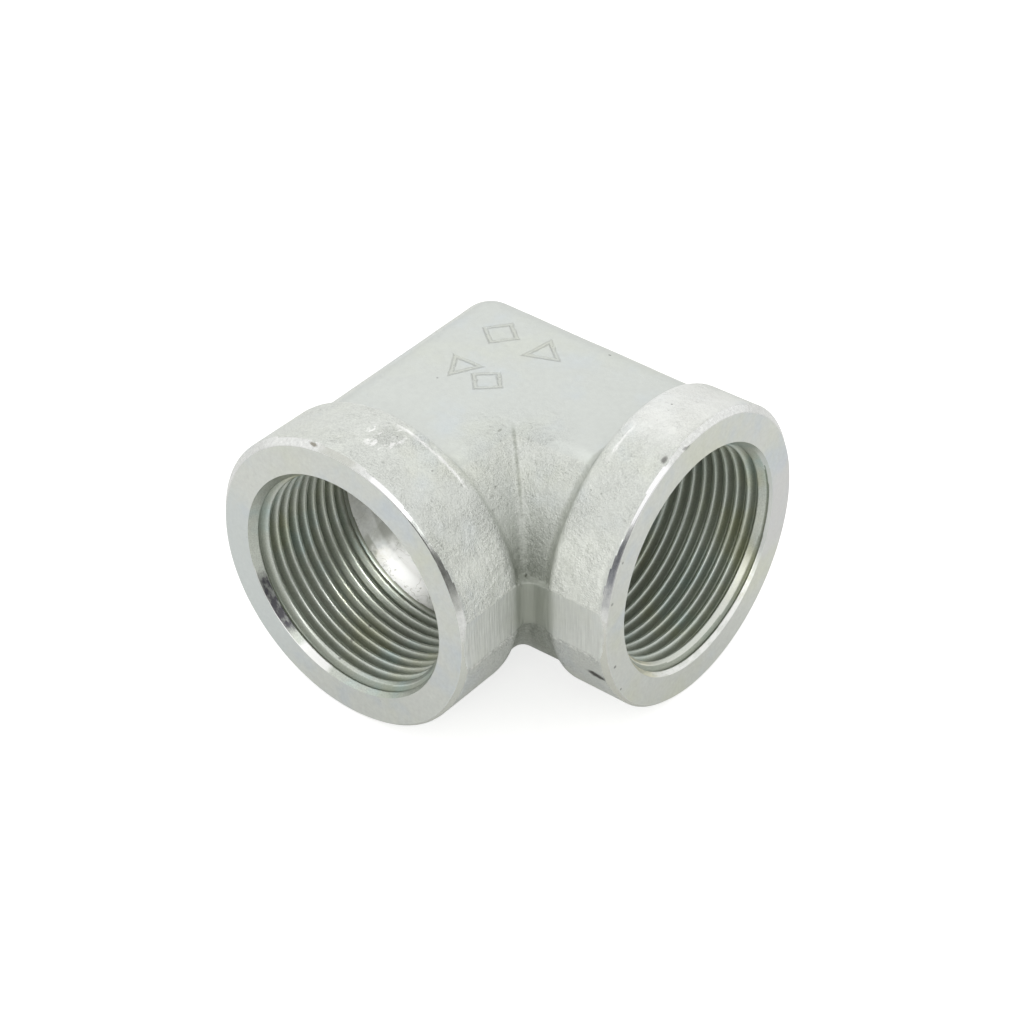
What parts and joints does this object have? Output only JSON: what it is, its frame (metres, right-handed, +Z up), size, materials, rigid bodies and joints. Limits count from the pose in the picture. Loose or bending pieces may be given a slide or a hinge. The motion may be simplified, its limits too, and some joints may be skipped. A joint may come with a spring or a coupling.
{
  "type": "elbow fitting",
  "caption": "Forged steel 90-degree pipe elbow with a parallel female pipe thread in each round collar, turned end faces and a trimmed parting band.",
  "frame": {"origin": "middle of the part's footprint, level with the lowest line of its collars; the port axes cross 27.3 mm above it and 7.575 mm to the back and left of it", "axes": "+Z up, square to the plane of both port axes; +X out of port B; -Y out of port A"},
  "size_m": [0.07, 0.07, 0.0548],
  "materials": {
    "zinc_plated_steel": "satin zinc plate, as forged on the body, turned on the faces, chamfers and bores"
  },
  "bodies": {
    "root": {"elbow_body": "zinc_plated_steel"}
  },
  "joints": []
}
